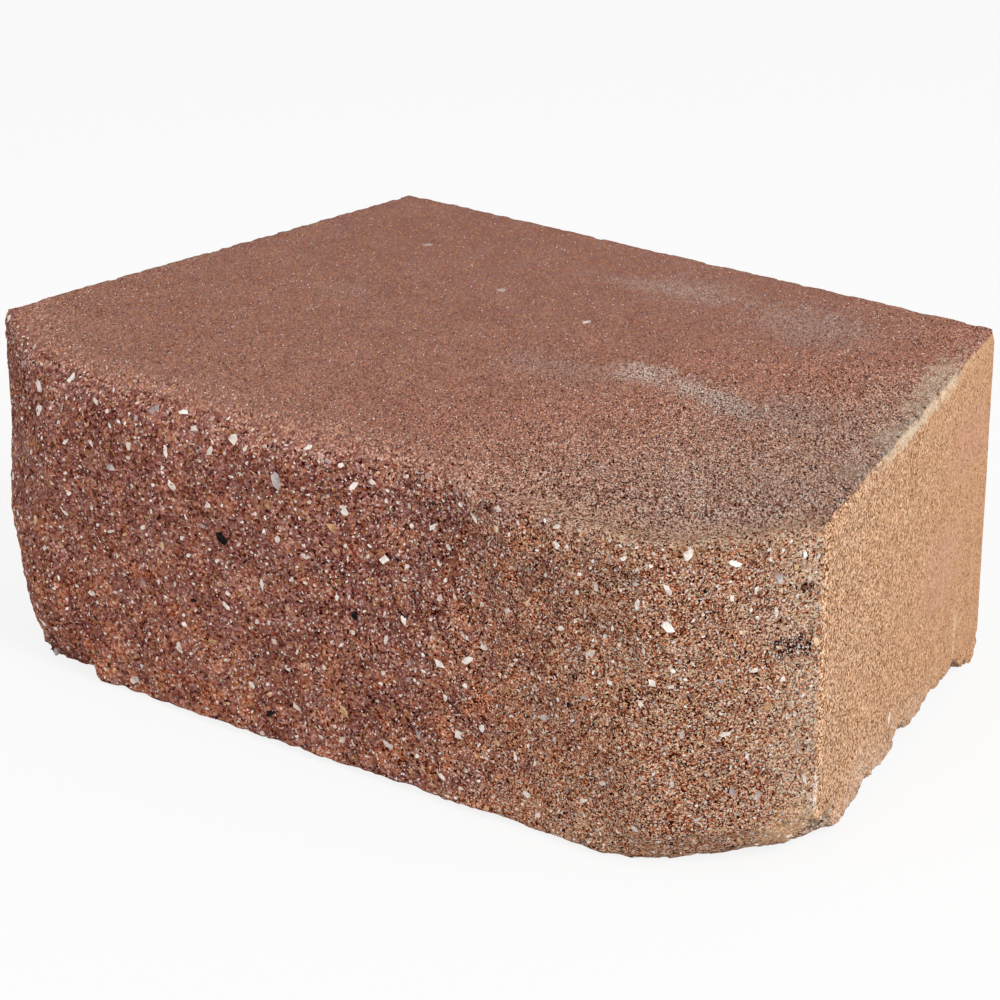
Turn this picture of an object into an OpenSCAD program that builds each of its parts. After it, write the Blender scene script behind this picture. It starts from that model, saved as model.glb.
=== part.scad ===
// Split-face retaining wall block with bevelled corners, tapered sides and a rear lip.
// One solid of dry-cast concrete. The origin is the middle of the bed face, the split
// face looks along -Y, and the lip hangs below the bed at the back.

/* [Block] */
// Width across the front corners, where the moulded sides begin
block_w = 293; // [250:1:340]
// Depth overall, from the brow of the split face to the back
block_d = 201; // [150:1:240]
// Height of one course, from bed to top
block_h = 102.5; // [75:0.5:150]
// Width across the back, narrower than the front so that walls can curve
back_w = 226; // [170:1:245]
// Radius of the two upright corners at the back
rear_r = 8; // [3:0.5:15]
// Chamfer on the moulded edges of the top, bed, sides and back
arris = 1.5; // [0.5:0.5:4]

/* [Split face] */
// How far the left bevel reaches in from the side at the brow
left_bevel_w = 60; // [20:1:80]
// How far the left bevel reaches in from the side at the foot
left_foot_w = 32; // [20:1:80]
// How far the left bevel falls back from the brow
left_bevel_d = 35; // [15:1:60]
// How far the right bevel reaches in from the side
right_bevel_w = 37; // [20:1:80]
// How far the right bevel falls back from the brow
right_bevel_d = 43; // [15:1:60]
// How round the bevels are in plan, where 1 is a straight cut
bevel_power = 1.8; // [1:0.1:3]
// How far the foot of the face lies behind the brow's right end
foot_setback = 5; // [0:0.5:15]
// How far the split ran off line, taking the brow's left end back
brow_skew = 3; // [0:0.5:15]
// Rounding where the left half of the face meets the top
left_brow_r = 14; // [2:0.5:20]
// Rounding where the right half of the face meets the top
right_brow_r = 4; // [2:0.5:12]
// How deep the hollow in the brow is
hollow_d = 8; // [0:0.5:15]
// How far right of the middle the hollow lies
hollow_x = 28; // [-60:1:60]
// How far the hollow spreads to each side
hollow_w = 44; // [10:1:80]
// How far down the face the hollow runs
hollow_h = 50; // [10:1:80]
// Rounding where the split face meets the bed
foot_r = 3; // [2:0.5:12]

/* [Broken corners] */
// How far the lower right corner has broken back at the bed
right_break_d = 19; // [0:1:25]
// How high up the right corner the break reaches
right_break_h = 15; // [5:1:40]
// How far in from the right side the break starts
right_break_w = 50; // [20:1:80]
// How far the lower left corner has broken back at the bed
left_break_d = 15; // [0:1:25]
// How high up the left corner the break reaches
left_break_h = 40; // [5:1:60]
// How far in from the left side the break starts
left_break_w = 40; // [20:1:80]

/* [Split lumps] */
// Height of the lumps that splitting leaves in the face
lump_h = 4; // [0:0.5:9]
// Spacing of the largest lumps
lump_pitch = 49; // [30:1:80]
// Number that picks the pattern of lumps
lump_seed = 70; // [1:1:99]

/* [Rear lip] */
// How far the lip hangs below the bed
lip_h = 6.5; // [5:0.5:15]
// Depth of the lip along the bed, from its root to the back
lip_d = 24; // [15:1:40]
// How far the front of the lip leans back over its height
lip_lean = 4; // [1:0.5:8]
// Chamfer along the lip's lower front edge
lip_nose = 2.5; // [0.5:0.5:4]
// Radius along the lip's lower rear edge
lip_r = 5.5; // [2:0.5:8]

/* [Hidden] */

concrete = [0.56, 0.40, 0.34];
half_w = block_w / 2;
half_back = back_w / 2;
front_y = -block_d / 2;
back_y = block_d / 2;
corner_y = front_y + right_bevel_d;
taper = atan((half_w - half_back) / (back_y - corner_y));
front_half = half_w + tan(taper) * (corner_y - front_y);    // half the width if the sides ran on to the brow
lip_root_y = back_y - lip_d;
lip_round = min(lip_r, lip_h - 1);
margin = 10;        // how far each cutter runs past what it cuts
columns = 38;       // columns of facets across the split face
wall_rows = 10;     // rows of facets between the foot and brow roundings
foot_rows = 3;      // rows of facets in the foot's rounding
brow_rows = 5;      // rows of facets in the brow's rounding

// ---- Lumps: smooth value noise, from 0 to 1 ----

function fraction(a) = a - floor(a);
function ease(t) = t * t * (3 - 2 * t);
function mix(a, b, t) = a + (b - a) * t;
function lattice(i, j) = fraction(sin(i * 127.1 + j * 311.7 + lump_seed * 74.7) * 43758.5453);
function noise(u, v) =
    let (i = floor(u), j = floor(v), s = ease(u - i), t = ease(v - j))
    mix(mix(lattice(i, j), lattice(i + 1, j), s), mix(lattice(i, j + 1), lattice(i + 1, j + 1), s), t);
function lumps(x, z) =
    0.7 * noise(x / lump_pitch, z / lump_pitch) + 0.3 * noise(2.6 * x / lump_pitch, 2.6 * z / lump_pitch);

// ---- Split face: how far each point lies behind the brow ----

function bevel_fall(x, z) =
    let (left_w = mix(left_foot_w, left_bevel_w, z / block_h))
    let (w = x < 0 ? left_w : right_bevel_w, d = x < 0 ? left_bevel_d : right_bevel_d)
    d * pow(max(0, abs(x) - half_w + w) / w, bevel_power);
// 1 in the middle of the face and 0 at the moulded sides, which splitting leaves straight.
function split_share(x) = 1 - pow(min(1, abs(x) / half_w), 6);
function lean(x, z) = mix(foot_setback, brow_skew * pow(0.5 - x / block_w, 2), z / block_h);
function broken(d, w, h, inward, z) =
    d * min(1, max(0, 1.7 * (1 - inward / w))) * pow(max(0, 1 - z / h), 1.5);
function break_fall(x, z) =
    let (inward = half_w - abs(x))
    x < 0 ? broken(left_break_d, left_break_w, left_break_h, inward, z)
    : broken(right_break_d, right_break_w, right_break_h, inward, z);
function hollow_fall(x, z) = hollow_d * ease(max(0, 1 - abs(x - hollow_x) / hollow_w))
    * ease(max(0, 1 - (block_h - z) / hollow_h));
// The brow's rounding changes over the middle quarter of the width.
function brow_r(x) = mix(left_brow_r, right_brow_r, ease(min(1, max(0, 4 * x / block_w + 0.67))));
// How far a rounding of radius r has fallen back at distance d from the flat that it meets.
function rounding(r, d) = d >= r ? 0 : r - sqrt(r * r - pow(r - max(0, d), 2));
function face_y(x, z) =
    front_y + bevel_fall(x, z) + split_share(x) * (lean(x, z) + lump_h * lumps(x, z) + hollow_fall(x, z))
    + max(break_fall(x, z), rounding(foot_r, z)) + rounding(brow_r(x), block_h - z) * split_share(x);

function row_heights() = concat(
    [-lip_h - margin],
    [for (k = [0 : foot_rows - 1]) foot_r * (1 - cos(90 * k / foot_rows))],
    [for (k = [0 : wall_rows]) mix(foot_r, block_h - left_brow_r, pow(k / wall_rows, 1.3))],
    [for (k = [1 : brow_rows]) block_h - left_brow_r * (1 - sin(90 * k / brow_rows))],
    [block_h + margin]
);

// Everything in front of the split face: a skin of facets and a flat sheet ahead of it, joined at the rims.
module split_cutter() {
    heights = row_heights();
    rows = len(heights);
    reach = front_half + margin;
    skin = [for (i = [0 : columns]) for (z = heights)
        let (x = mix(-reach, reach, i / columns)) [x, face_y(x, min(max(z, 0), block_h)), z]];
    sheet = [for (p = skin) [p.x, front_y - margin, p.z]];
    n = len(skin);
    last = columns * rows;
    across = [0 : columns - 1];
    upward = [0 : rows - 2];
    facets = [for (i = across) for (k = upward) let (a = i * rows + k, b = a + rows)
        each [[a, b + 1, a + 1], [a, b, b + 1], [a + n, a + 1 + n, b + 1 + n, b + n]]];
    ends = [for (a = upward) let (b = last + a)
        each [[a, a + 1, a + 1 + n, a + n], [b + 1, b, b + n, b + 1 + n]]];
    rims = [for (i = across) let (a = i * rows, b = a + rows, c = b - 1, d = c + rows)
        each [[b, a, a + n, b + n], [c, d, d + n, c + n]]];
    polyhedron(concat(skin, sheet), concat(facets, ends, rims));
}

// ---- Moulded body ----

// Plan outline with its upright rear corners rounded, as tall as the block and its lip.
module plan_prism() {
    tall = lip_h + block_h;
    round_x = half_back + rear_r * tan(taper) - rear_r / cos(taper);
    right = [
        [front_half, front_y],
        [round_x + rear_r * cos(taper), back_y - rear_r + rear_r * sin(taper)],
        [round_x, back_y]
    ];
    left = [for (i = [len(right) - 1 : -1 : 0]) [-right[i].x, right[i].y]];
    translate([0, 0, -lip_h]) {
        linear_extrude(tall) polygon(concat(right, left));
        for (side = [-1, 1])
            translate([side * round_x, back_y - rear_r, 0]) cylinder(r = rear_r, h = tall, $fn = 48);
    }
}

// Upright section from front to back: top, back, lip and bed.
module section_prism() {
    section = [
        [front_y - margin, 0],
        [lip_root_y, 0],
        [lip_root_y + lip_lean * (1 - lip_nose / lip_h), lip_nose - lip_h],
        [lip_root_y + lip_lean + lip_nose, -lip_h],
        [back_y - lip_round, -lip_h],
        [back_y, lip_round - lip_h],
        [back_y, block_h - arris],
        [back_y - arris, block_h],
        [front_y - margin, block_h]
    ];
    rotate([90, 0, 90]) linear_extrude(2 * (front_half + margin), center = true) {
        polygon(section);
        translate([back_y - lip_round, lip_round - lip_h]) circle(r = lip_round, $fn = 48);
    }
}

// A bar laid along the edge of the right-hand side at height z, turned to cut a chamfer.
module side_chamfer(z) {
    bar = arris * sqrt(2);
    translate([half_back, back_y, z]) rotate([0, 0, taper]) rotate([0, 45, 0])
        translate([-bar / 2, -2 * block_d, -bar / 2]) cube([bar, 2 * block_d + margin, bar]);
}

module wall_block() {
    color(concrete) difference() {
        intersection() {
            plan_prism();
            section_prism();
        }
        split_cutter();
        for (side = [0, 1]) mirror([side, 0, 0]) for (z = [0, block_h]) side_chamfer(z);
    }
}

wall_block();
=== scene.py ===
import math
from functools import partial
from itertools import product

import bpy
import numpy as np
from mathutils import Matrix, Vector


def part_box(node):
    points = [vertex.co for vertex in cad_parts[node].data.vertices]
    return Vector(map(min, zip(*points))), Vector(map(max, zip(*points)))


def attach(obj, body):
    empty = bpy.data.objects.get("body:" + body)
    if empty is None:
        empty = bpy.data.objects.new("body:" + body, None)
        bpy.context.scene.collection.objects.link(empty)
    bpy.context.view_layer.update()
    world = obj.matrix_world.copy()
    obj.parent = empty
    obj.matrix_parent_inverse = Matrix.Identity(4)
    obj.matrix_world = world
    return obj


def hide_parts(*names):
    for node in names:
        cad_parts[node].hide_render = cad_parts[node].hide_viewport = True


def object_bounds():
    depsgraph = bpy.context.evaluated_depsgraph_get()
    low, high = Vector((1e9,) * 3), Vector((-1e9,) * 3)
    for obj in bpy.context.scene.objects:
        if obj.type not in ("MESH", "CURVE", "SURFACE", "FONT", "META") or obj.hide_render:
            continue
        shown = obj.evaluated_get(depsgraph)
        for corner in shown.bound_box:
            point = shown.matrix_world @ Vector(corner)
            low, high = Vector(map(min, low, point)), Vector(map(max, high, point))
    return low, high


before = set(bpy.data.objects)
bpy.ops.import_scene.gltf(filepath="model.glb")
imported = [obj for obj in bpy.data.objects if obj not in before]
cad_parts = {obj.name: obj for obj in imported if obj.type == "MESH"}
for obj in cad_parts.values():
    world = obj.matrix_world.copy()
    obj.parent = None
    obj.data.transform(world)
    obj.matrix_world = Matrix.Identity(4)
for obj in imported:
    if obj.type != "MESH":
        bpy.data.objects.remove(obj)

# Split-face wall block: one casting of dry-cast concrete with crushed quartz in it.
# Sizes in the dictionaries are in millimetres unless a note says otherwise.

mm = 0.001
cadLow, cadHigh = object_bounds()
nodeLow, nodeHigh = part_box("wall_block")

# The moulded planes and the brow, from the solid's own box and its named sizes.
casting = {
    "top": nodeHigh[2] / mm,
    "back": nodeHigh[1] / mm,
    "under": nodeLow[2] / mm,
    "front": nodeLow[1] / mm,
    "frontHalf": 146.5,       # half the width at the right front corner
    "frontCorner": -57.5,     # where that corner lies, front to back
    "backHalf": 113.0,        # half the width at the back
    "lipRoot": 76.5,          # where the lip's front meets the bed
    "leftBevel": (60.0, 35.0),    # how far the bevels reach in, and how far they fall back
    "rightBevel": (37.0, 43.0),
    "bevelPower": 1.8,
}
taperDepth = casting["back"] - casting["frontCorner"]
casting["slope"] = (casting["frontHalf"] - casting["backHalf"]) / taperDepth
casting["sideLimit"] = casting["frontHalf"] + casting["slope"] * casting["frontCorner"]


def linear(hexColour):
    channels = [int(hexColour[i:i + 2], 16) / 255 for i in (1, 3, 5)]
    return [c / 12.92 if c <= 0.04045 else ((c + 0.055) / 1.055) ** 2.4 for c in channels] + [1.0]


def addObject(name, data):
    made = bpy.data.objects.new(name, data)
    bpy.context.scene.collection.objects.link(made)
    return made


def emptyTree(owner):
    # the cleared node tree of a material or world
    owner.use_nodes = True
    owner.node_tree.nodes.clear()
    return owner.node_tree


def readAll(items, name, width):
    # one attribute of every item, a row each
    found = np.empty(len(items) * width, dtype=np.float32)
    items.foreach_get(name, found)
    return found.reshape(-1, width)


def addNode(tree, kind, inputs=(), stops=None, **settings):
    # Adds one node with its settings and links, and gives its outputs. Inputs are a list in order, or a
    # dictionary by name or number. Those of a range node are its value, from, from, to and to.
    node = tree.nodes.new(kind)
    for name, value in settings.items():
        setattr(node, name, value)
    for key, value in inputs.items() if isinstance(inputs, dict) else enumerate(inputs):
        if isinstance(value, bpy.types.NodeSocket):
            tree.links.new(value, node.inputs[key])
        else:
            node.inputs[key].default_value = value
    if stops:                 # evenly spaced colours of a ramp
        elements = node.color_ramp.elements
        while len(elements) < len(stops):
            elements.new(1.0)
        for k, colour in enumerate(stops):
            elements[k].position = k / (len(stops) - 1)
            elements[k].color = linear(colour)
    return node.outputs


calc, span, mix = "ShaderNodeMath", "ShaderNodeMapRange", "ShaderNodeMix"
vector, noise, ramps = "ShaderNodeVectorMath", "ShaderNodeTexNoise", "ShaderNodeValToRGB"


# Noise over points, so that the relief is real geometry.
def hashed(i, j, k, seed):
    # one number from 0 to 1 for each lattice corner; the long numbers are mixing constants
    h = (i.astype(np.uint32) * np.uint32(374761393)) ^ (j.astype(np.uint32) * np.uint32(668265263))
    h ^= (k.astype(np.uint32) * np.uint32(2246822519)) ^ np.uint32((seed * 3266489917) & 0xffffffff)
    h = (h ^ (h >> np.uint32(13))) * np.uint32(1274126177)
    h = (h ^ (h >> np.uint32(15))) * np.uint32(2654435761)
    return ((h ^ (h >> np.uint32(16))) & np.uint32(0xffffff)).astype(np.float32) / 16777215.0


def smoothNoise(points, size, seed):
    # from -1 to 1; size is the spacing of its lumps, one number or one per axis
    q = points / np.asarray(size, dtype=np.float32)
    cell = np.floor(q).astype(np.int64)
    t = (q - cell).astype(np.float32)
    t = t * t * (3 - 2 * t)
    total = np.zeros(len(points), dtype=np.float32)
    for a, b, c in product((0, 1), repeat=3):
        weight = np.abs(1 - a - t[:, 0]) * np.abs(1 - b - t[:, 1]) * np.abs(1 - c - t[:, 2])
        total += weight * hashed(cell[:, 0] + a, cell[:, 1] + b, cell[:, 2] + c, seed)
    return total * 2 - 1


def layeredNoise(points, size, seed, layers=3, gain=0.5):
    # smooth noise in layers, each half the size of the one before
    total, strength, reach = 0.0, 1.0, 0.0
    size = np.asarray(size, dtype=np.float32)
    for k in range(layers):
        total = total + strength * smoothNoise(points, size / 2 ** k, seed + 17 * k)
        reach += strength
        strength *= gain
    return total / reach


def grainNoise(points, size, seed):
    # distance to the nearest grain centre over the grain size, and a number for each grain
    q = (points / size).astype(np.float32)
    cell = np.floor(q).astype(np.int64)
    nearest = np.full(len(points), 9.0, dtype=np.float32)
    grain = np.zeros(len(points), dtype=np.float32)
    for a, b, c in product((-1, 0, 1), repeat=3):
        i, j, k = cell[:, 0] + a, cell[:, 1] + b, cell[:, 2] + c
        dx = i + hashed(i, j, k, seed) - q[:, 0]
        dy = j + hashed(i, j, k, seed + 1) - q[:, 1]
        dz = k + hashed(i, j, k, seed + 2) - q[:, 2]
        far = np.sqrt(dx * dx + dy * dy + dz * dz)
        closer = far < nearest
        nearest = np.where(closer, far, nearest)
        grain = np.where(closer, hashed(i, j, k, seed + 3), grain)
    return nearest, grain


def ramp(value, low, high):
    t = np.clip((value - low) / (high - low), 0, 1)
    return t * t * (3 - 2 * t)


def mouldedGaps(p):
    # how far each point lies inside the top, the underside, the nearer side and the back
    side = casting["sideLimit"] - casting["slope"] * p[:, 1] - np.abs(p[:, 0])
    bed = np.where(p[:, 1] < casting["lipRoot"], p[:, 2], p[:, 2] - casting["under"])
    return casting["top"] - p[:, 2], bed, side, casting["back"] - p[:, 1]


def behindBrow(p):
    # how far each point lies behind the line of the brow
    left, right = casting["leftBevel"], casting["rightBevel"]
    inLeft = np.clip((-p[:, 0] - casting["frontHalf"] + left[0]) / left[0], 0, 2)
    inRight = np.clip((p[:, 0] - casting["frontHalf"] + right[0]) / right[0], 0, 2)
    line = left[1] * inLeft ** casting["bevelPower"] + right[1] * inRight ** casting["bevelPower"]
    return p[:, 1] - casting["front"] - line


# The block's skin.
skin = {
    "voxel": 0.8,            # spacing of the points that carry the relief
    "quickVoxel": 1.6,
    "triangles": 190000,     # kept after flat areas are thinned
    "seed": 41,
    "splitEnds": (40, 60),   # where the split relief fades out, front to back
    "splitEdge": (0.5, 2.6),     # and how far inside the moulded planes it starts and is full
    "waves": 1.6,            # broad undulation of the split face
    "wavesSize": 24.0,
    "hackles": 1.05,         # ridges left where the crack ran
    "hacklesSize": 9.0,
    "stones": 0.55,          # rounded bumps of the coarser sand
    "stonesSize": 3.2,
    "grains": 0.50,
    "grainsSize": 1.5,
    "bump": (0.55, 0.4, 1.2),    # where a grain's bump ends, its least height and what some add
    "pits": 1.3,             # holes where grains fell out
    "pitsSize": 4.2,
    "pitWall": (0.1, 0.42),  # from and to where its wall rises, over its size
    "pitless": 0.55,         # share of its cells without a pit
    "sunk": 0.3,             # sets all of this back a little
    "browGrains": 0.30,      # open texture of the top, near the brow
    "browEnds": (6, 34),     # and where that fades, behind the brow
    "browDown": (0.5, 4),    # and below the top
    "mouldRelief": 0.07,     # the moulded faces are nearly flat
    "mouldSizes": (2.2, 18),
    "poreDepth": 0.5,        # with few pores
    "poreSize": 2.6,
    "poreWall": (0.05, 0.35),
    "poreless": 0.86,
    "dragMarks": 0.10,       # upright scratches from lifting the mould off
    "dragSize": (1.6, 1.6, 26.0),
    "dragFrom": (0.6, 1.6),  # they start this far below the top
    "arrisCrumble": 1.1,     # how deep the upper and rear arrises have crumbled
    "bedCrumble": 1.5,       # and those around the bed
    "crumbleReach": (3.2, 6.0),  # how far in from the upper arrises, and from the bed's
    "bedHeight": 6,          # what counts as near the bed
    "notchSize": 5.0,
    "deepNotch": (0.12, 0.26, 0.45),     # noise where one starts and is full, and its depth
    "speckleSize": 2.4,
    "footCrumble": 1.1,      # ragged foot of the split face
    "footSize": 4.5,
    "footUp": (0.3, 4),      # how far up it reaches
    "chipRim": (0.72, 1.0),  # where a chip's rim starts, as a share of its reach
    "chipStray": (0.12, 8.0),    # how far the rim strays, and the spacing of its waves
    "chips": (               # pieces knocked off: centre, reach and depth
        ((-143, -62, 8), 24, 4.5),
        ((-108, -93, -2), 19, 3.6),
        ((148, -52, 1), 12, 3.4),
        ((139, -14, 0), 6, 2.0),
        ((131, 16, 0), 7, 2.2),
    ),
}


def makeSkin():
    print("block: remeshing the solid and cutting its relief")
    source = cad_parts["wall_block"]
    work = addObject("skinWork", source.data.copy())
    remesh = work.modifiers.new("remesh", "REMESH")
    remesh.mode = "VOXEL"
    remesh.voxel_size = skin["voxel"] * mm
    graph = bpy.context.evaluated_depsgraph_get()
    dense = bpy.data.meshes.new_from_object(work.evaluated_get(graph), depsgraph=graph)
    work.modifiers.clear()
    work.data = dense

    p = readAll(dense.vertices, "co", 3) / mm
    moved = p + reliefFor(p, readAll(dense.vertex_normals, "vector", 3))
    dense.vertices.foreach_set("co", (moved * mm).astype(np.float32).ravel())
    dense.update()

    thin = work.modifiers.new("thin", "DECIMATE")
    thin.ratio = min(1.0, skin["triangles"] / (2.0 * len(dense.polygons)))
    thin.use_collapse_triangulate = True
    graph = bpy.context.evaluated_depsgraph_get()
    final = bpy.data.meshes.new_from_object(work.evaluated_get(graph), depsgraph=graph)
    bpy.data.objects.remove(work)
    bpy.data.meshes.remove(dense)

    block = addObject("block_skin", final)
    final.polygons.foreach_set("use_smooth", [True] * len(final.polygons))
    final.materials.clear()
    print("block:", len(p), "points cut,", len(final.polygons), "triangles kept")
    return block


def bumps(p, size, seed, height=1.0):
    # a rounded bump for each grain
    edge, least, more = skin["bump"]
    far, grain = grainNoise(p, size, seed)
    return height * (edge - far) * (least + more * grain)


def holes(p, size, seed, wall, without):
    # 1 in the middle of each hole, and none in a share of the cells
    far, grain = grainNoise(p, size, seed)
    return (1 - ramp(far, *wall)) * (grain > without)


def reliefFor(p, normals):
    # how far each point moves: mostly inwards, and under 2 mm out on crests of the split face
    seed = skin["seed"]
    top, bed, side, back = mouldedGaps(p)
    behind = behindBrow(p)
    gaps = np.sort(np.stack([np.maximum(g, 0) for g in (top, bed, side, back)]), axis=0)
    inFront = 1 - ramp(p[:, 1], *skin["splitEnds"])
    split = ramp(gaps[0], *skin["splitEdge"]) * inFront

    # broad waves, then crack ridges, then the sand itself
    waves = skin["waves"] * layeredNoise(p, skin["wavesSize"], seed, 2)
    ridges = 1 - 2 * np.abs(layeredNoise(p, skin["hacklesSize"], seed + 5, 3))
    hackles = skin["hackles"] * (ridges - 0.5)
    coarse = bumps(p, skin["stonesSize"], seed + 9, skin["stones"])
    grains = bumps(p, skin["grainsSize"], seed + 13)
    pits = -skin["pits"] * holes(p, skin["pitsSize"], seed + 21, skin["pitWall"], skin["pitless"])
    rough = waves + hackles + coarse + skin["grains"] * grains + pits - skin["sunk"]

    small, large = skin["mouldSizes"]
    fine = layeredNoise(p, small, seed + 31, 2) + 1.2 * smoothNoise(p, large, seed + 33)
    pores = holes(p, skin["poreSize"], seed + 35, skin["poreWall"], skin["poreless"])
    fine = skin["mouldRelief"] * fine - skin["poreDepth"] * pores
    drag = skin["dragMarks"] * layeredNoise(p, skin["dragSize"], seed + 37, 2)
    drag = drag * ramp(top, *skin["dragFrom"])
    nearBrow = (1 - ramp(behind, *skin["browEnds"])) * (1 - ramp(top, *skin["browDown"]))
    moulded = fine + drag + nearBrow * (skin["browGrains"] * grains - 0.1)

    # arrises crumble where two faces meet, more in some places than others
    low = bed < skin["bedHeight"]
    above, below = skin["crumbleReach"]
    nearEdge = (1 - ramp(gaps[1], 0.2, np.where(low, below, above))) * (gaps[0] < 2.0)
    notches = layeredNoise(p, skin["notchSize"], seed + 51, 3)
    start, full, deep = skin["deepNotch"]
    bite = np.clip(notches + np.where(low, 0.2, 0.12), 0, 1) ** 1.2 + deep * ramp(notches, start, full)
    speckle = 0.8 * np.clip(layeredNoise(p, skin["speckleSize"], seed + 55, 2) + 0.1, 0, 1)
    crumble = -np.where(low, skin["bedCrumble"], skin["arrisCrumble"]) * nearEdge * (bite + speckle)
    foot = (1 - ramp(bed, *skin["footUp"])) * inFront * ramp(behind, -20, -2) * (side > 1)
    ragged = np.clip(layeredNoise(p, skin["footSize"], seed + 61, 3) + 0.2, 0, 1)
    crumble -= skin["footCrumble"] * foot * ragged
    stray, size = skin["chipStray"]
    for centre, reach, depth in skin["chips"]:
        far = np.linalg.norm(p - np.array(centre, dtype=np.float32), axis=1) / reach
        far = far + stray * layeredNoise(p, size, seed + 71, 3)
        crumble -= depth * (1 - ramp(far, *skin["chipRim"]))

    depth = split * rough + (1 - split) * moulded + crumble
    return normals * depth[:, None]


# Crushed stone set in the split face.
stones = {
    "seed": 7,
    "sizes": ((160, 2.2, 4.8), (640, 1.3, 2.4), (1100, 0.8, 1.4)),    # how many, from and to what width
    "greyShare": 0.12,
    "ochreShare": 0.20,
    "darkCount": 70,
    "thick": ((128, -82, 86), 28, 2.5),      # a place with more: middle, reach, how many times more
    "browMore": 2.0,         # how many times more along the brow
    "browReach": 8,
    "darkSizes": (1.0, 2.4),
    "margin": 1.6,           # none this close to the top and sides
    "bedMargin": 2.5,
    "rearmost": -40,
    "tries": 12,             # for a place this share of two widths apart
    "spacing": 0.7,
    "slender": (0.32, 0.85),     # short width over long
    "proud": 0.20,           # how far a fragment stands out of the face
    "notable": (             # kind, across and up the face, long and short width, lean in degrees
        ("dark_pebbles", -33.9, 65.1, 5.2, 3.8, 130),
        ("grey_chips", -12.0, 88.6, 6.6, 4.4, 105),
        ("quartz_chips", 56.9, 93.9, 6.2, 2.0, 150),
        ("quartz_chips", 98.5, 24.8, 4.2, 3.6, 20),
        ("quartz_chips", 86.2, 95.2, 3.6, 3.0, 0),
        ("dark_pebbles", 13.8, 52.4, 3.6, 3.2, 40),
        ("grey_chips", -77.4, 76.7, 4.4, 2.4, 20),
        ("dark_pebbles", -20.0, 10.5, 4.8, 2.8, 15),
        ("quartz_chips", -83.5, 95.4, 3.6, 1.7, 160),
        ("grey_chips", -60.9, 98.4, 4.0, 2.4, 60),
        ("quartz_chips", -50.6, 99.3, 4.5, 1.8, 10),
        ("quartz_chips", -44.8, 96.5, 3.8, 1.9, 0),
        ("quartz_chips", 91.9, 16.7, 4.6, 1.8, 20),
        ("quartz_chips", -54.6, 87.1, 4.4, 1.8, 110),
        ("quartz_chips", -20.6, 52.6, 5.4, 2.2, 100),
        ("quartz_chips", 10.0, 84.6, 4.6, 2.6, 130),
        ("quartz_chips", 132.5, 95.5, 5.4, 1.8, 155),
        ("quartz_chips", 119.3, 89.0, 4.2, 2.0, 120),
        ("quartz_chips", 138.9, 78.3, 4.2, 1.7, 80),
        ("quartz_chips", 135.9, 62.5, 5.2, 1.7, 5),
    ),
}


def splitFaces(block):
    # triangles of the finished split face: centres, normals and areas
    faces = block.data.polygons
    p = readAll(faces, "center", 3) / mm
    top, bed, side = mouldedGaps(p)[:3]
    keep = (np.minimum(top, side) > stones["margin"]) & (bed > stones["bedMargin"])
    keep &= p[:, 1] < stones["rearmost"]
    return p[keep], readAll(faces, "normal", 3)[keep], readAll(faces, "area", 1)[keep, 0]


def faceNormal(points, normals, spot):
    near = np.abs(points - spot).max(axis=1) < 3.0
    return Vector(normals[near].mean(axis=0)).normalized()


def addFragment(verts, faces, spot, axis, long, short, lean, rng):
    # a broken stone: an uneven flat top nearly flush with the face, wider below it, closed underneath
    level = Vector((0, 0, 1)).cross(axis).normalized()
    upward = axis.cross(level)
    corners = int(rng.integers(4, 8))
    angles = [2 * math.pi * (k + rng.uniform(-0.3, 0.3)) / corners for k in range(corners)]
    reach = [rng.uniform(0.78, 1.15) for _ in angles]
    start = len(verts)
    top = stones["proud"] * rng.uniform(0.4, 1.4)
    for height, scale in ((top, 0.84), (-0.3, 1.05), (-0.4 - 0.4 * short, 0.6)):
        for angle, far in zip(angles, reach):
            u, v = math.cos(angle) * far * long / 2, math.sin(angle) * far * short / 2
            u, v = u * math.cos(lean) - v * math.sin(lean), u * math.sin(lean) + v * math.cos(lean)
            lift = height + (rng.uniform(-0.1, 0.1) if height > 0 else 0)
            verts.append((Vector(spot) + (level * u + upward * v) * scale + axis * lift) * mm)
    ring = range(corners)
    faces.append([start + k for k in ring])
    faces.append([start + 2 * corners + k for k in reversed(ring)])
    for row in (0, corners):
        for k in ring:
            a, b = start + row + k, start + row + (k + 1) % corners
            faces.append([a, a + corners, b + corners, b])


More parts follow.
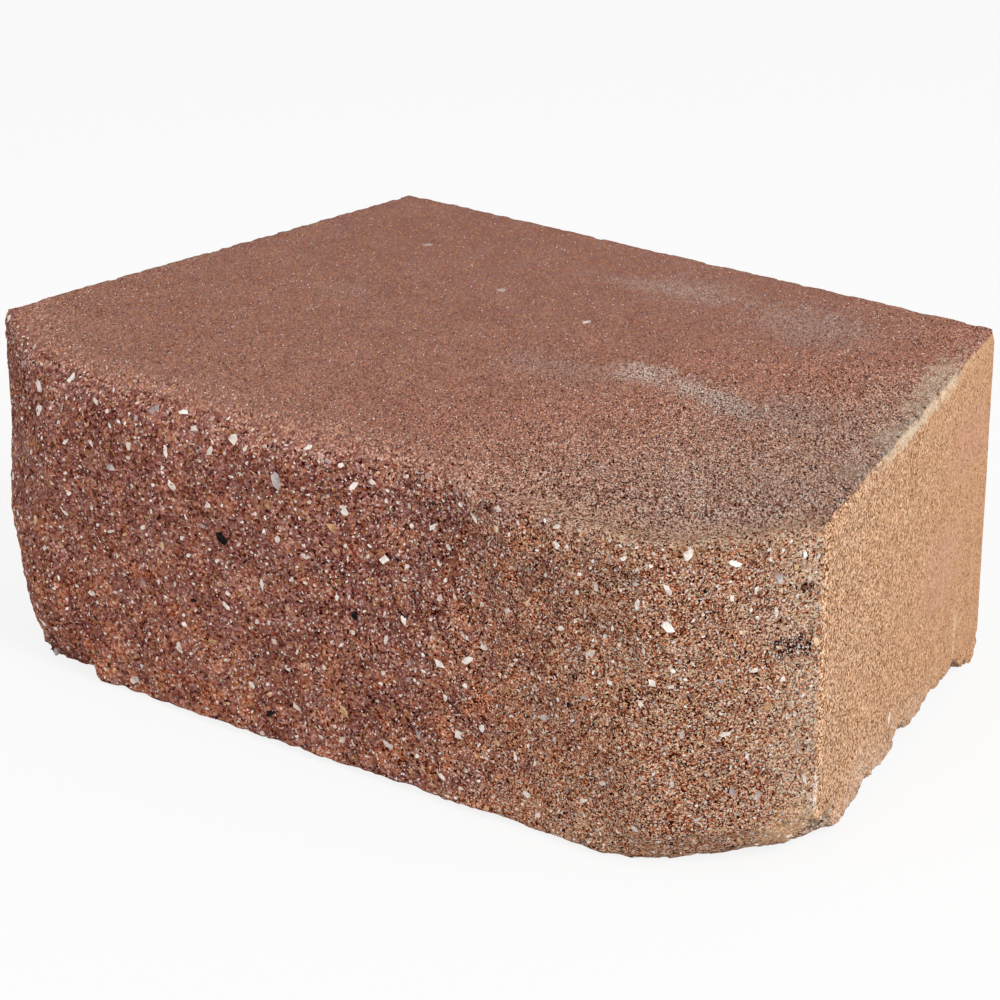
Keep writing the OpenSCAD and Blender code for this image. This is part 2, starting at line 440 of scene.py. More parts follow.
def makeStones(block):
    print("stones: setting crushed quartz and dark pebbles in the face")
    points, normals, areas = splitFaces(block)
    rng = np.random.default_rng(stones["seed"])
    middle, reach, more = stones["thick"]
    crowd = np.exp(-((points - np.array(middle)) ** 2).sum(axis=1) / reach ** 2)
    brow = np.exp(-((points[:, 2] - casting["top"]) / stones["browReach"]) ** 2)
    chance = areas * (1 + (more - 1) * crowd) * (1 + (stones["browMore"] - 1) * brow)
    chance = chance / chance.sum()
    built = {kind: ([], []) for kind in ("quartz_chips", "grey_chips", "ochre_chips", "dark_pebbles")}
    taken = np.empty((0, 4))
    for kind, x, z, long, short, lean in stones["notable"]:
        spot = points[np.argmin(np.abs(points[:, 0] - x) + np.abs(points[:, 2] - z))]
        addFragment(*built[kind], spot, faceNormal(points, normals, spot), long, short,
                    math.radians(lean), rng)
        taken = np.vstack([taken, [*spot, long]])
    plan = [("chips",) + row for row in stones["sizes"]]
    plan.append(("dark_pebbles", stones["darkCount"]) + stones["darkSizes"])
    for kind, count, low, high in plan:
        for _ in range(count):
            long = low + (high - low) * rng.random() ** 1.5
            for _ in range(stones["tries"]):
                spot = points[int(rng.choice(len(points), p=chance))]
                apart = np.abs(taken[:, :3] - spot).max(axis=1)
                if (apart > (taken[:, 3] + long) * stones["spacing"]).all():
                    break
            taken = np.vstack([taken, [*spot, long]])
            drawn = rng.random()
            target = kind
            if kind == "chips":
                grey, ochre = stones["greyShare"], stones["greyShare"] + stones["ochreShare"]
                target = "grey_chips" if drawn < grey else "ochre_chips"
                if drawn >= ochre:
                    target = "quartz_chips"
            short = long * rng.uniform(*stones["slender"])
            addFragment(*built[target], spot, faceNormal(points, normals, spot), long, short,
                        rng.uniform(0, math.pi), rng)
    made = []
    for name, (verts, faces) in built.items():
        data = bpy.data.meshes.new(name)
        data.from_pydata(verts, [], faces)
        made.append(addObject(name, data))
    return made


# The sand of the concrete, and its colours.
concrete = {
    "grain": 0.85,            # width of the coarser sand grains
    "fineGrain": 0.48,
    "sideGrain": 0.60,
    "rightFiner": 1.25,       # how many times finer the sand is towards the right
    "browFiner": 1.45,        # just behind the brow
    "topFiner": 1.75,         # and on the top
    "pressed": 0.44,          # pressing drags the top's grains out along one line, by one over this
    "dragTurn": -35.0,        # that line's turn from front-to-back, in degrees
    "wobble": 0.8,            # how far grain outlines stray from plain cells
    "gapDepth": 0.85,         # how dark the painted shade in the gaps between grains is, and how deep they sink
    "pitShare": 0.15,         # share of grains that have dropped out, leaving a hole filled with painted shade
    "sidePitShare": 0.17,
    "speckShare": 0.027,      # share of fine grains that are pale
    "tintShare": 0.30,        # share of coarser grains with a colour of their own
    "tintStrength": 0.55,
    # darkest to palest grain
    "red": ("#40100a", "#662f24", "#874c43", "#9b645a", "#af7a6f", "#d09e92", "#f5d8cc"),
    "tan": ("#521204", "#984223", "#ca724b", "#e5936d", "#faab84", "#ffc59e", "#ffe4c4"),
    "top": ("#4e1708", "#783f2f", "#8e6054", "#a1796d", "#c68e7a", "#eeab90", "#ffd6be"),
    "side": ("#6a3a16", "#9b6b42", "#be8d66", "#cfa07b", "#d8a985", "#e2b590", "#f4ceac"),
    "tints": ("#8a3524", "#b5683a", "#8a6260", "#c69350", "#d58c76"),    # brick, rust, mauve, ochre, pink
    # painted shade in the gaps between grains, in the holes and in the side's pores
    "gap": "#340a02",
    "tornShade": "#5a3420",
    # painted shade in the pits of the worn line along the upper right arris
    "speck": "#fff6ee",
    "browSpeck": "#ecc4a8",
}

# How soft the edge of each kind of mark is, and how much of it keeps to the higher grains. A fleck
# keeps to the very highest.
markKinds = {"rub": (0.9, 1.0), "smear": (0.6, 0.4), "spot": (0.3, 0.3), "burn": (0.25, 1.0),
             "fleck": (0.3, 1.0)}

# Marks on the block: kind, middle, half sizes, turn in degrees about the upright, colour, strength.
marks = (
    ("rub", (45, 5, 102), (11, 8, 6), 0, "#ecdfd2", 0.5),  # where it was slid along
    ("rub", (65, 1.5, 102), (18, 8, 6), -16, "#ecdfd2", 0.45),
    ("rub", (83, -3, 102), (13, 7, 6), -22, "#f2e8dc", 0.6),
    ("rub", (15, 71, 102), (30, 8, 6), 8, "#b79d91", 0.55),
    ("rub", (20, 77, 102), (15, 11, 6), 0, "#b79d91", 0.4),
    ("rub", (22, -6, 102), (24, 12, 6), 0, "#b99f93", 0.4),
    ("rub", (66, 68, 102), (24, 20, 6), 0, "#b8a094", 0.55),
    ("rub", (95, 2, 102), (20, 15, 6), 0, "#b8a094", 0.45),
    ("rub", (-71, 10, 102), (12, 10, 6), 0, "#ad9389", 0.2),
    ("spot", (7, 31, 103), (1.4, 2.2, 3), 0, "#f3e9e2", 1.0),  # lime
    ("spot", (-31, 39, 103), (1.6, 1.8, 3), 0, "#dccbc2", 0.7),
    ("spot", (-76, 60, 103), (1.6, 1.8, 3), 0, "#dccbc2", 0.5),
    ("smear", (120, 50, 102), (7, 28, 4), 12, "#ecd0b4", 0.6),  # slurry along the right edge
    ("smear", (129, 3, 102), (5, 10, 4), 12, "#e8cdb4", 0.7),
    ("smear", (134, -24, 102), (5, 9, 4), 12, "#d0ab92", 0.8),
    ("smear", (129.5, 20, 101.0), (4, 42, 2.2), 12, "#ddcab1", 0.75),
    ("smear", (125, 50, 42), (16, 22, 18), 12, "#d4a28c", 0.45),  # pink bloom on the side
    ("smear", (120, 76, 76), (14, 24, 14), 12, "#d19c88", 0.4),
    ("rub", (134, 0, 2), (24, 60, 12), 12, "#e0cdbd", 0.4),  # lime near its foot
    ("rub", (145.6, -58.6, 18), (0.9, 1.0, 8), 0, "#fffaf4", 1.0),  # lime runs
    ("rub", (119.7, 68.8, 13), (5, 1.6, 11), 0, "#eadccb", 0.5),
    ("rub", (138.8, -21.0, 10), (5, 5, 8), 0, "#eadccb", 0.35),
    ("spot", (133.3, 4.8, 14), (5, 1.0, 2.0), 0, "#fdf9f4", 1.0),
    ("smear", (142, -66, 6), (12, 14, 12), 0, "#ffd0a4", 0.95),  # crumbled lower corner: its pale sand, made paler still as painted light against the shade on its downward faces
    ("burn", (141.6, -66.5, 67), (6, 9.5, 3.6), 0, "#150903", 2.2),  # burnt patches
    ("burn", (143.5, -62.5, 84), (3, 3.0, 2.2), 0, "#150903", 1.8),
    ("fleck", (141.6, -66.5, 67), (6, 9.5, 3.6), 0, "#fff4ea", 1.0),  # bare quartz in the larger one
    ("rub", (123, -91.5, 99), (5, 5, 3), 0, "#b98b52", 0.55),  # ochre sand
)

# Where each kind of surface starts and is full: inside a face, behind the brow or along the block.
zones = {
    "onTop": (2.4, 1.0),
    "onBed": (1.4, 0.6),
    "onSide": (1.5, 1.0),
    "onBack": (1.6, 0.6),
    "rearSide": (5.6, 5.0),   # the rounded rear corners lie a little inside both planes
    "rearBack": (5.2, 4.6),
    "worn": (3.6, 3.0),       # the ragged line just inside the upper right arris
    "wornEnd": (70.0, 45.0),
    "beside": (15.0, 3.0),    # paler sand next to the right side
    "browBack": (30.0, 8.0),  # the brow: open, paler grains on it and behind it, and a painted highlight where it rounds over
    "browDown": (9.0, 3.0),
    "toRight": (10.0, 130.0),
    "along": (-130.0, 130.0),
    "onto": (1.0, 13.0),      # where the top's colours take over
    "pressed": (10.0, 30.0),  # and where its grains are pressed flat
    "pressedRight": -20.0,    # moves that back at the right
    "frayScale": 0.45,        # waves a millimetre in all these borders
    "frayReach": 1.3,
    "sideFray": 0.4,          # share of that reach at the sides
    "browFray": 7.0,          # and behind the brow
}

# How lively the grain is: most at the right front, calmer to the left and back.
liveliness = {
    "front": (3.4, 0.85, 2.3),           # power of its rise to the right, least and most
    "top": (4.0, 0.55, 3.4),
    "overTop": (15.0, 165.0, 0.32),      # from and to where it fades behind the brow, and what is left
    "overSide": (-57.0, 90.0, 1.65, 0.50),
}


def addRegions(tree, point):
    # how far a point belongs to each kind of surface, 0 to 1, with frayed borders
    add = partial(addNode, tree)
    x, y, z = add("ShaderNodeSeparateXYZ", [point])
    fray = add(noise, {"Vector": point, "Scale": zones["frayScale"], "Detail": 4.0, "Roughness": 0.6})["Fac"]
    frayed = add(span, {0: fray, 3: -zones["frayReach"], 4: zones["frayReach"]})[0]
    height = add(calc, [z, frayed], operation="ADD")[0]
    across = add(calc, [x], operation="ABSOLUTE")[0]
    reach = add(calc, [y, casting["slope"], across], operation="MULTIPLY_ADD")[0]
    reach = add(calc, [frayed, zones["sideFray"], reach], operation="MULTIPLY_ADD")[0]
    inside = add(calc, [casting["sideLimit"], reach], operation="SUBTRACT")[0]
    behind = add(calc, [y, -casting["front"]], operation="ADD")[0]
    for toward, (width, fall) in ((-1, casting["leftBevel"]), (1, casting["rightBevel"])):
        into = add(span, [x, toward * (casting["frontHalf"] - width),
                          toward * (casting["frontHalf"] + width), 0.0, 2.0])[0]
        bowed = add(calc, [into, casting["bevelPower"]], operation="POWER")[0]
        behind = add(calc, [bowed, -fall, behind], operation="MULTIPLY_ADD")[0]

    share = {}
    smooth = ("toRight", "browBack", "browDown")
    for name, value, plane, inward in (
            ("onTop", height, casting["top"], -1), ("onBed", height, 0, 1), ("onSide", inside, 0, 1),
            ("onBack", y, casting["back"], -1), ("rearSide", inside, 0, 1),
            ("rearBack", y, casting["back"], -1), ("worn", inside, 0, 1), ("wornEnd", y, 0, 1),
            ("beside", inside, 0, 1), ("browBack", behind, 0, 1),
            ("browDown", height, casting["top"], -1), ("toRight", x, 0, 1), ("along", x, 0, 1)):
        start, full = zones[name]
        share[name] = add(span, [value, plane + inward * start, plane + inward * full],
                          interpolation_type="SMOOTHSTEP" if name in smooth else "LINEAR")[0]

    upright = add(calc, [share["onSide"], share["onBack"]], operation="MAXIMUM")[0]
    corner = add(calc, [share["rearSide"], share["rearBack"]], operation="MULTIPLY")[0]
    corner = add(calc, [corner, share["onTop"]], operation="SUBTRACT", use_clamp=True)[0]
    upright = add(calc, [upright, corner], operation="MAXIMUM")[0]
    worn = share["worn"]
    onRight = add(calc, [x, 0.0], operation="GREATER_THAN")[0]
    for kept in (share["onTop"], share["wornEnd"], onRight):
        worn = add(calc, [worn, kept], operation="MULTIPLY")[0]
    worn = add(calc, [worn, upright], operation="SUBTRACT", use_clamp=True)[0]
    brow = add(calc, [share["browBack"], share["browDown"]], operation="MULTIPLY")[0]

    flat = add(calc, [share["onTop"], share["onBed"]], operation="MAXIMUM")[0]
    near = add(calc, [frayed, zones["browFray"], behind], operation="MULTIPLY_ADD")[0]
    further = add(calc, [share["toRight"], zones["pressedRight"], near], operation="MULTIPLY_ADD")[0]
    for name, value in (("onto", near), ("pressed", further)):
        start, full = zones[name]
        reached = add(span, [value, start, full])[0]
        share[name] = add(calc, [reached, flat], operation="MULTIPLY")[0]
    beside = add(calc, [share["beside"], share["toRight"]], operation="MULTIPLY")[0]
    beside = add(calc, [beside, flat], operation="SUBTRACT", use_clamp=True)[0]

    lively = {}
    for name in ("front", "top"):
        power, least, most = liveliness[name]
        rising = add(calc, [share["along"], power], operation="POWER")[0]
        lively[name] = add(span, {0: rising, 3: least, 4: most})[0]
    start, end, least = liveliness["overTop"]
    overTop = add(span, [behind, start, end, 1.0, least])[0]
    overTop = add(calc, [overTop, lively["top"]], operation="MULTIPLY")[0]
    start, end, most, least = liveliness["overSide"]
    overSide = add(span, [y, start, end, most, least])[0]
    level = add(mix, {0: share["onTop"], 2: lively["front"], 3: overTop})[0]
    share["lively"] = add(mix, {0: upright, 2: level, 3: overSide})[0]
    share.update(x=x, z=z, frayed=frayed, flat=flat, upright=upright, worn=worn, brow=brow, beside=beside)
    return share


# How grains are drawn. A pair is where a gap, hole or speck starts and is full, measured from the
# grain's middle, over its width.
sand = {
    "finerFrom": 62.0,        # right of here the sand is finer, with a border that strays
    "finerStray": 14.0,
    "strayScale": 1.1,        # waves a grain in the grains' outlines
    "scraped": (1.25, 1.25, 0.8),    # the mould drags the sides' grains upright
    "fineShare": (0.8, 1.4, 0.25, 0.70),    # calm and lively, and the share of finer sand at each
    "pressedFine": 0.85,
    "mostSpread": 2.1,        # where liveliness stops adding contrast
    "mostOpen": 1.45,         # and the darkness of the painted shade, and the depth, of the gaps
    "coarseGap": (0.60, 0.85),
    "fineGap": (0.66, 0.86),
    "fineOpens": (0.9, 1.7, 0.55),   # calm and lively, and how dark the painted shade in fine gaps gets
    "closedGap": 0.25,        # the faintest gap, as a share of the darkest
    "pressedGap": 0.4,
    "hole": (0.74, 0.54),
    "raggedHole": 0.7,        # share of a hole's fine grains that are gone too
    # pores on the moulded sides, filled with painted shade
    "sideHole": (0.62, 0.38),
    "sideDark": 0.9,
    "tear": (0.53, 0.60),     # how much of the worn line is broken open, with painted shade in its pits
    "tearScale": 0.42,
    # how dark the painted shade in those pits is
    "tearDark": 0.95,
    "speckPower": 1.2,        # how pale specks grow in number with liveliness
    "browSpecks": -0.05,
    "sideSpecks": 0.035,
    "speck": (0.7, 0.45),
    "largeSpecks": (0.026, -0.014),    # their share: this times the liveliness, plus this
    "browLarge": 0.045,
    "largeSpeck": (0.62, 0.45),
    "largePale": 0.85,
    "fineRise": -0.6,         # height of the finer sand, next to the coarser
    "sideRise": -0.25,
    "sunk": -0.9,             # how deep holes and tears lie
}


def addGrains(tree, point, region):
    # cells for two sizes of sand, with gaps between them and holes where some dropped out
    cells, parts = "ShaderNodeTexVoronoi", "ShaderNodeSeparateXYZ"
    lively, upright = region["lively"], region["upright"]
    add = partial(addNode, tree)
    rightward = add(calc, [region["frayed"], sand["finerStray"], region["x"]], operation="MULTIPLY_ADD")[0]
    right = add(calc, [rightward, sand["finerFrom"]], operation="GREATER_THAN")[0]
    onTop = add(calc, [region["onto"], 0.5], operation="GREATER_THAN")[0]
    onFlat = add(calc, [region["pressed"], 0.5], operation="GREATER_THAN")[0]
    finer = 1.0
    for where, times in ((right, "rightFiner"), (onTop, "browFiner"), (onFlat, "topFiner")):
        finer = add(mix, {0: where, 2: finer, 3: concrete[times]})[0]
    drag = add(mix, {0: onTop, 2: 1.0, 3: concrete["pressed"]})[0]
    drag = add("ShaderNodeCombineXYZ", {"X": 1.0, "Y": drag, "Z": 1.0})[0]
    turn = (0, 0, math.radians(concrete["dragTurn"]))
    turned = add("ShaderNodeMapping", {"Vector": point, "Rotation": turn}, vector_type="POINT")[0]
    sized = add(vector, {0: turned, "Scale": finer}, operation="SCALE")[0]
    dragged = add(vector, [sized, drag], operation="MULTIPLY")[0]
    stray = add(noise, {"Vector": dragged, "Scale": sand["strayScale"], "Detail": 2.0})["Color"]
    strayed = add(vector, [stray, (concrete["wobble"],) * 3, dragged], operation="MULTIPLY_ADD")[0]
    scraped = add(vector, [strayed, sand["scraped"]], operation="MULTIPLY")[0]
    coarse = add(cells, {"Vector": strayed, "Scale": 1 / concrete["grain"]})
    fine = add(cells, {"Vector": strayed, "Scale": 1 / concrete["fineGrain"]})
    side = add(cells, {"Vector": scraped, "Scale": 1 / concrete["sideGrain"]})
    coarseShade, coarsePick, coarseTint = add(parts, [coarse["Color"]])
    fineShade, finePick, fineTint = add(parts, [fine["Color"]])
    sideShade, sidePick = add(parts, [side["Color"]])[:2]

    # the finer sand shows most where the surface is lively
    calm, open, few, many = sand["fineShare"]
    fineShare = add(span, [lively, calm, open, few, many])[0]
    fineShare = add(mix, {0: region["pressed"], 2: fineShare, 3: sand["pressedFine"]})[0]
    shade = add(mix, {0: fineShare, 2: coarseShade, 3: fineShade})[0]
    shade = add(mix, {0: upright, 2: shade, 3: sideShade})[0]
    shade = add(calc, [shade, -0.5], operation="ADD")[0]
    spread = add(calc, [lively, sand["mostSpread"]], operation="MINIMUM")[0]
    shade = add(calc, [shade, spread], operation="MULTIPLY")[0]

    # painted shade in the gaps between grains and in the holes where grains have dropped out
    around = {}
    calm, open, dark = sand["fineOpens"]
    fineDark = add(span, [lively, calm, open, 0.0, dark])[0]
    for name, cell, most in (
            ("coarseGap", coarse, concrete["gapDepth"]), ("fineGap", fine, fineDark),
            ("hole", coarse, 1.0), ("sideHole", side, sand["sideDark"]), ("speck", fine, 1.0),
            ("largeSpeck", coarse, sand["largePale"])):
        start, full = sand[name]
        around[name] = add(span, [cell["Distance"], start, full, 0.0, most])[0]
    broken = add(span, {0: fineTint, 3: sand["closedGap"], 4: 1.0})[0]
    coarseGap = add(calc, [around["coarseGap"], broken], operation="MULTIPLY")[0]
    fineGap = add(calc, [around["fineGap"], broken], operation="MULTIPLY")[0]
    gap = add(calc, [coarseGap, fineGap], operation="MAXIMUM")[0]
    shut = add(span, {0: region["pressed"], 3: 1.0, 4: sand["pressedGap"]})[0]
    gap = add(calc, [gap, shut], operation="MULTIPLY")[0]
    dropped = add(calc, [coarsePick, 1 - concrete["pitShare"]], operation="GREATER_THAN")[0]
    ragged = add(calc, [fineShade, sand["raggedHole"]], operation="LESS_THAN")[0]
    hole = dropped
    for shape in (around["hole"], ragged):
        hole = add(calc, [hole, shape], operation="MULTIPLY")[0]
    openShade = add(calc, [gap, hole], operation="MAXIMUM")[0]
    depth = add(calc, [lively, sand["mostOpen"]], operation="MINIMUM")[0]
    openShade = add(calc, [openShade, depth], operation="MULTIPLY", use_clamp=True)[0]
    dropped = add(calc, [sidePick, 1 - concrete["sidePitShare"]], operation="GREATER_THAN")[0]
    sideHole = add(calc, [dropped, around["sideHole"]], operation="MULTIPLY")[0]
    openShade = add(mix, {0: upright, 2: openShade, 3: sideHole})[0]
    # painted shade in the pits of the ragged worn line
    tear = add(noise, {"Vector": point, "Scale": sand["tearScale"], "Detail": 4.0, "Roughness": 0.8})["Fac"]
    start, full = sand["tear"]
    tear = add(span, [tear, start, full, 0.0, sand["tearDark"]])[0]
    tornShade = add(calc, [tear, region["worn"]], operation="MULTIPLY")[0]

    # pale specks, small and large
    rare = 1.0
    number = add(calc, [lively, sand["speckPower"]], operation="POWER")[0]
    for part, weight in ((number, -concrete["speckShare"]), (region["brow"], sand["browSpecks"]),
                         (upright, sand["sideSpecks"])):
        rare = add(calc, [part, weight, rare], operation="MULTIPLY_ADD")[0]
    small = add(calc, [finePick, rare], operation="GREATER_THAN")[0]
    small = add(calc, [small, around["speck"]], operation="MULTIPLY")[0]
    more, large = sand["largeSpecks"]
    for part, weight in ((lively, more), (region["brow"], sand["browLarge"])):
        large = add(calc, [part, weight, large], operation="MULTIPLY_ADD")[0]
    large = add(calc, [coarsePick, large], operation="LESS_THAN")[0]
    large = add(calc, [large, around["largeSpeck"]], operation="MULTIPLY")[0]
    large = add(mix, {0: upright, 2: large, 3: 0.0})[0]
    pale = add(calc, [small, large], operation="MAXIMUM")[0]

    # some grains have a colour of their own
    lot = add(calc, [coarseShade, 13.0], operation="MULTIPLY")[0]
    lot = add(calc, [lot], operation="FRACT")[0]
    tinted = add(calc, [lot, 1 - concrete["tintShare"]], operation="GREATER_THAN")[0]
    tinted = add(calc, [tinted, concrete["tintStrength"]], operation="MULTIPLY")[0]
    rise = 1.0
    for cell, weight in ((coarse, -1.0), (fine, sand["fineRise"])):
        rise = add(calc, [cell["Distance"], weight, rise], operation="MULTIPLY_ADD")[0]
    rise = add(calc, [rise, lively], operation="MULTIPLY")[0]
    sideRise = add(calc, [side["Distance"], sand["sideRise"]], operation="MULTIPLY")[0]
    rise = add(mix, {0: upright, 2: rise, 3: sideRise})[0]
    sunk = add(calc, [openShade, tornShade], operation="MAXIMUM")[0]
    rise = add(calc, [sunk, sand["sunk"], rise], operation="MULTIPLY_ADD")[0]
    return {"shade": shade, "tint": coarseTint, "tinted": tinted, "openShade": openShade, "tornShade": tornShade,
            "pale": pale, "rise": rise, "pick": fineShade}


# Broad changes of shade and colour. A pair is the value on the split face and on the flats.
shades = {
    "patchSize": 14,
    "patches": (0.10, 0.045),
    "swing": (0.3, 0.7),      # noise at the darkest and palest patch or streak
    "level": (0.425, 0.398),
    "lift": (0.06, 0.135),    # paler where the grain is lively
    "beside": 0.46,
    # the brow is made paler: partly its open, pale grains, partly a painted highlight where it rounds over
    # to the light
    "brow": 0.09,
    "foot": (18.0, 2.0),      # heights between which the right end of the face is painted paler, as painted light against the shade on its downward faces
    # how much painted light the right end of the foot gets
    "footPaintedLight": 0.24,
    "side": (0.50, 0.60),     # darkest and palest upright streak
    "streak": (1, 1, 0.06),   # how streaks are drawn out upright
    "streakScale": 0.5,
    "tanUp": (85.0, 5.0),     # the face turns from red to tan towards its foot
    "tanUpShare": (-0.15, 0.2),
    "toRightTan": 1.2,        # and its right end
    "besideTan": 0.4,
    "blotchSize": 8,
    "blotch": 0.4,
    "blotchSwing": (0.38, 0.62),
    "caught": (0.3, 0.95, 1.9),    # which grains catch a rubbed mark, and how strongly
    "highest": (0.84, 0.88),       # and which are the highest
    "markScale": 0.25,        # waves a millimetre in the marks' edges
    "markFray": 3.6,
    "markEdge": 2.55,
}


def makeConcrete():
    # Pigmented dry-cast concrete, split in front and moulded elsewhere: dull, open and sandy.
    # Splitting bares every grain with dark gaps between; moulding leaves a tighter skin of paste.
    print("materials: split and moulded concrete")
    material = bpy.data.materials.new("splitAndMouldedConcrete")
    tree = emptyTree(material)
    add = partial(addNode, tree)
    place = add("ShaderNodeTexCoord")["Object"]
    point = add(vector, [place, (1 / mm,) * 3], operation="MULTIPLY")[0]
    region = addRegions(tree, point)
    grain = addGrains(tree, point, region)

    # broad changes of shade, including painted light at the right foot and partly along the brow, with
    # upright streaks on the moulded sides
    patches = add(noise, {"Vector": point, "Scale": 1 / shades["patchSize"], "Detail": 4.0,
                          "Roughness": 0.62})["Fac"]
    low, high = shades["swing"]
    patches = add(span, [patches, low, high, -1.0])[0]
    flats = {}
    for name in ("patches", "level", "lift"):
        onSplit, onFlat = shades[name]
        flats[name] = add(span, {0: region["flat"], 3: onSplit, 4: onFlat})[0]
    # painted light: the right end of the face is made paler towards its foot, against the shade on its
    # downward faces
    foot = add(span, [region["z"], *shades["foot"], 0.0, shades["footPaintedLight"]])[0]
    shift = flats["level"]
    for part, strength in (
            (patches, flats["patches"]), (region["beside"], shades["beside"]),
            (region["lively"], flats["lift"]), (region["brow"], shades["brow"]),
            (foot, region["toRight"]), (foot, region["beside"])):
        shift = add(calc, [part, strength, shift], operation="MULTIPLY_ADD")[0]
    long = add(vector, [point, shades["streak"]], operation="MULTIPLY")[0]
    streaks = add(noise, {"Vector": long, "Scale": shades["streakScale"], "Detail": 3.0})["Fac"]
    sideShift = add(span, [streaks, low, high, *shades["side"]])[0]
    shift = add(mix, {0: region["upright"], 2: shift, 3: sideShift})[0]
    shade = add(calc, [grain["shade"], shift], operation="ADD")[0]

    # the split face turns from red to tan, in blotches
    lower = add(span, [region["z"], *shades["tanUp"], *shades["tanUpShare"]])[0]
    for name in ("toRight", "beside"):
        lower = add(calc, [region[name], shades[name + "Tan"], lower], operation="MULTIPLY_ADD")[0]
    clouds = add(noise, {"Vector": point, "Scale": 1 / shades["blotchSize"], "Detail": 3.0,
                         "Roughness": 0.6})["Fac"]
    low, high = shades["blotchSwing"]
    blotch = add(span, [clouds, low, high, -shades["blotch"], shades["blotch"]])[0]
    tan = add(calc, [lower, blotch], operation="ADD", use_clamp=True)[0]
    tints = add(ramps, [grain["tint"]], stops=concrete["tints"])[0]
    red, orange, mauve, buff = [add(ramps, [shade], stops=concrete[name])[0]
                                for name in ("red", "tan", "top", "side")]
    # layers of colour over the red: how far each covers, and its colour. The dark layer over open gaps and
    # holes is painted shade
    layers = [(tan, orange), (region["onto"], mauve), (grain["tinted"], tints),
              (region["upright"], buff), (grain["openShade"], linear(concrete["gap"]))]

    # marks over the open gaps, with the pale grains still showing through
    broken = add(noise, {"Vector": point, "Scale": shades["markScale"], "Detail": 6.0,
                         "Roughness": 0.8})["Fac"]
    closed = add(calc, [1.0, grain["openShade"]], operation="SUBTRACT")[0]
    start, full, most = shades["caught"]
    caught = add(span, [grain["pick"], start, full, 0.0, most])[0]
    caught = add(calc, [caught, closed], operation="MULTIPLY")[0]
    start, full = shades["highest"]
    highest = add(span, [grain["pick"], start, full])[0]
    edge = shades["markEdge"]
    for kind, middle, halves, turn, tone, strength in marks:
        softness, keeping = markKinds[kind]
        local = add("ShaderNodeMapping", {"Vector": point, "Location": middle, "Scale": halves,
                                          "Rotation": (0, 0, math.radians(turn))}, vector_type="TEXTURE")[0]
        far = add(vector, [local], operation="LENGTH")["Value"]
        far = add(calc, [broken, shades["markFray"], far], operation="MULTIPLY_ADD")[0]
        cover = add(span, [far, edge + softness / 2, edge - softness / 2, 0.0, strength])[0]
        kept = add(mix, {0: keeping, 2: 1.0, 3: highest if kind == "fleck" else caught})[0]
        cover = add(calc, [cover, kept], operation="MULTIPLY", use_clamp=True)[0]
        layers.append((cover, linear(tone)))
    cream = add(mix, {0: region["brow"], 6: linear(concrete["speck"]), 7: linear(concrete["browSpeck"])},
                data_type="RGBA")[2]
    layers += [(grain["tornShade"], linear(concrete["tornShade"])), (grain["pale"], cream)]
    colour = red
    for cover, over in layers:
        colour = add(mix, {0: cover, 6: colour, 7: over}, data_type="RGBA")[2]

    # a dull dielectric with an IOR near 1.5; open pores swallow most of its gloss
    bump = add("ShaderNodeBump", {"Strength": 0.9, "Distance": 0.0005, "Height": grain["rise"]})[0]
    shader = add("ShaderNodeBsdfPrincipled", {"Base Color": colour, "Roughness": 0.95, "IOR": 1.5,
                                              "Specular IOR Level": 0.05, "Normal": bump})[0]
    add("ShaderNodeOutputMaterial", {"Surface": shader})
    return material


crushedStone = {
    # material, darkest to palest colour, roughness, IOR and gloss
    "quartz_chips": ("crushedQuartz", ("#bda696", "#e3d6cc", "#fffaf5"), 0.5, 1.54, 0.4),
    "grey_chips": ("crushedGreyStone", ("#8f7b78", "#ab9b99", "#d0c4be"), 0.6, 1.54, 0.3),
    "ochre_chips": ("crushedSandstone", ("#a07448", "#c59c74", "#ecd3b2"), 0.8, 1.52, 0.3),
    "dark_pebbles": ("crushedBasalt", ("#070505", "#120e0f", "#453d42"), 0.8, 1.5, 0.1),
    "patch": 5.0,             # a change of shade about once a fragment
    "vein": 0.8,
    "veinShare": 0.6,
    "spread": (0.55, 1.05),   # noise at the darkest and palest colours
}


def makeStoneMaterial(name, stops, roughness, ior, gloss):
    # Crushed stone with broken, unpolished faces: each fragment has its own shade and a faint glint.
    print("materials:", name)
    material = bpy.data.materials.new(name)
    tree = emptyTree(material)
    add = partial(addNode, tree)
    place = add("ShaderNodeTexCoord")["Object"]
    shade = add(noise, {"Vector": place, "Scale": 1000 / crushedStone["patch"], "Detail": 1.0})[0]
    vein = add(noise, {"Vector": place, "Scale": 1000 / crushedStone["vein"], "Detail": 3.0})[0]
    both = add(calc, [vein, crushedStone["veinShare"], shade], operation="MULTIPLY_ADD")[0]
    darkest, palest = crushedStone["spread"]
    spread = add(span, [both, darkest, palest])[0]
    colour = add(ramps, {"Fac": spread}, stops=stops)[0]
    bump = add("ShaderNodeBump", {"Strength": 0.5, "Distance": 0.2 * mm, "Height": vein})[0]
    shader = add("ShaderNodeBsdfPrincipled", {"Base Color": colour, "Roughness": roughness, "IOR": ior,
                                              "Specular IOR Level": gloss, "Normal": bump})[0]
    add("ShaderNodeOutputMaterial", {"Surface": shader})
    return material


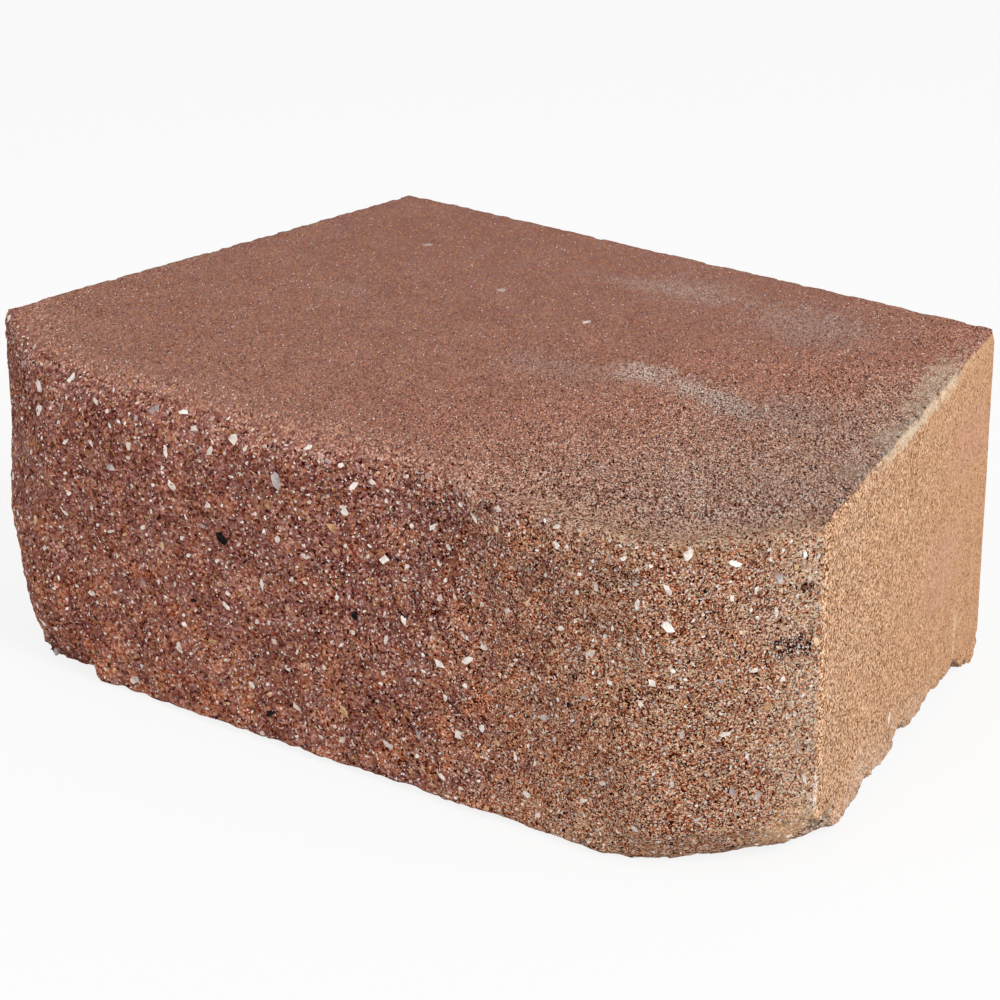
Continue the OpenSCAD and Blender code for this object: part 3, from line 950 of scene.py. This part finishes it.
# Floor, light and camera.
studio = {
    "floorSize": 6.0,         # metres, as are the places below
    "lipRest": 10,            # mm in front of the back, where the lip stands on the floor
    "footRest": 0.006,        # behind the foot's front, where the bed does
    "floorGap": 0.0003,       # keeps the floor clear of the block
    "floorColour": "#f2f1f0",
    "floorWhite": 0.86,       # how far the floor is lifted to the white backdrop
    "worldStrength": 0.50,
    "lamps": (                # watts, width and place
        (30.0, 0.9, (1.6, -0.5, 1.5)),
        (9.0, 1.8, (-0.7, -1.9, 1.3)),
    ),
    "lampAim": (0, 0, 0.05),
    "lens": 125.8,
    "cameraPlace": (0.5742, -0.8063, 0.4785),
    "yaw": -35.63,            # degrees, turned left from facing the block squarely
    "pitch": -23.32,
}


def addBackdropRays(tree):
    # 1 for the rays that should see plain white: those of the camera and of reflections
    rays = addNode(tree, "ShaderNodeLightPath")
    seen = rays["Is Camera Ray"]
    for other in (rays["Is Glossy Ray"], rays["Is Transmission Ray"]):
        seen = addNode(tree, calc, [seen, other], operation="MAXIMUM")[0]
    return seen


def makeStudio():
    print("studio: floor, light and camera")
    scene = bpy.context.scene
    # the block leans on its lip and its foot, so the floor runs under both
    lipLine = Vector((0, (casting["back"] - studio["lipRest"]) * mm, casting["under"] * mm))
    footLine = Vector((0, cadLow[1] + studio["footRest"], 0))
    half = studio["floorSize"] / 2
    data = bpy.data.meshes.new("studio_floor")
    corners = [(-half, -half, 0), (half, -half, 0), (half, half, 0), (-half, half, 0)]
    data.from_pydata(corners, [], [(0, 1, 2, 3)])
    floor = addObject("studio_floor", data)
    floor.rotation_euler = (math.atan2(lipLine.z - footLine.z, lipLine.y - footLine.y), 0, 0)
    floor.location = footLine + Vector((0, 0, -studio["floorGap"]))

    material = bpy.data.materials.new("matteWhitePaper")
    tree = emptyTree(material)
    paper = addNode(tree, "ShaderNodeBsdfDiffuse", {"Color": linear(studio["floorColour"])})[0]
    white = addNode(tree, "ShaderNodeEmission", {"Color": (1, 1, 1, 1), "Strength": 1.0})[0]
    lifted = addNode(tree, calc, [addBackdropRays(tree), studio["floorWhite"]], operation="MULTIPLY")[0]
    both = addNode(tree, "ShaderNodeMixShader", [lifted, paper, white])[0]
    addNode(tree, "ShaderNodeOutputMaterial", {"Surface": both})
    data.materials.append(material)

    world = bpy.data.worlds.new("studioWorld")
    scene.world = world
    tree = emptyTree(world)
    strength = addNode(tree, span, {0: addBackdropRays(tree), 3: studio["worldStrength"]})[0]
    sky = addNode(tree, "ShaderNodeBackground", {"Color": (1, 1, 1, 1), "Strength": strength})[0]
    addNode(tree, "ShaderNodeOutputWorld", {"Surface": sky})

    for power, size, where in studio["lamps"]:
        lamp = bpy.data.lights.new("softbox", "AREA")
        lamp.energy = power
        lamp.size = size
        holder = addObject("softbox", lamp)
        holder.location = where
        aim = Vector(studio["lampAim"]) - holder.location
        holder.rotation_euler = aim.to_track_quat("-Z", "Y").to_euler()

    camera = bpy.data.cameras.new("camera")
    camera.lens = studio["lens"]
    camera.clip_start = 0.05
    camera.clip_end = 50
    holder = addObject("camera", camera)
    holder.location = studio["cameraPlace"]
    yaw, pitch = math.radians(studio["yaw"]), math.radians(studio["pitch"])
    aim = Vector((math.sin(yaw) * math.cos(pitch), math.cos(yaw) * math.cos(pitch), math.sin(pitch)))
    holder.rotation_euler = aim.to_track_quat("-Z", "Y").to_euler()
    scene.camera = holder
    scene.view_settings.view_transform = "Standard"


# The block is put together.
block = makeSkin()
chips = makeStones(block)
block.data.materials.append(makeConcrete())
for piece in chips:
    piece.data.materials.append(makeStoneMaterial(*crushedStone[piece.name]))
for piece in [block] + chips:
    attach(piece, "root")
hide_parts("wall_block")
makeStudio()
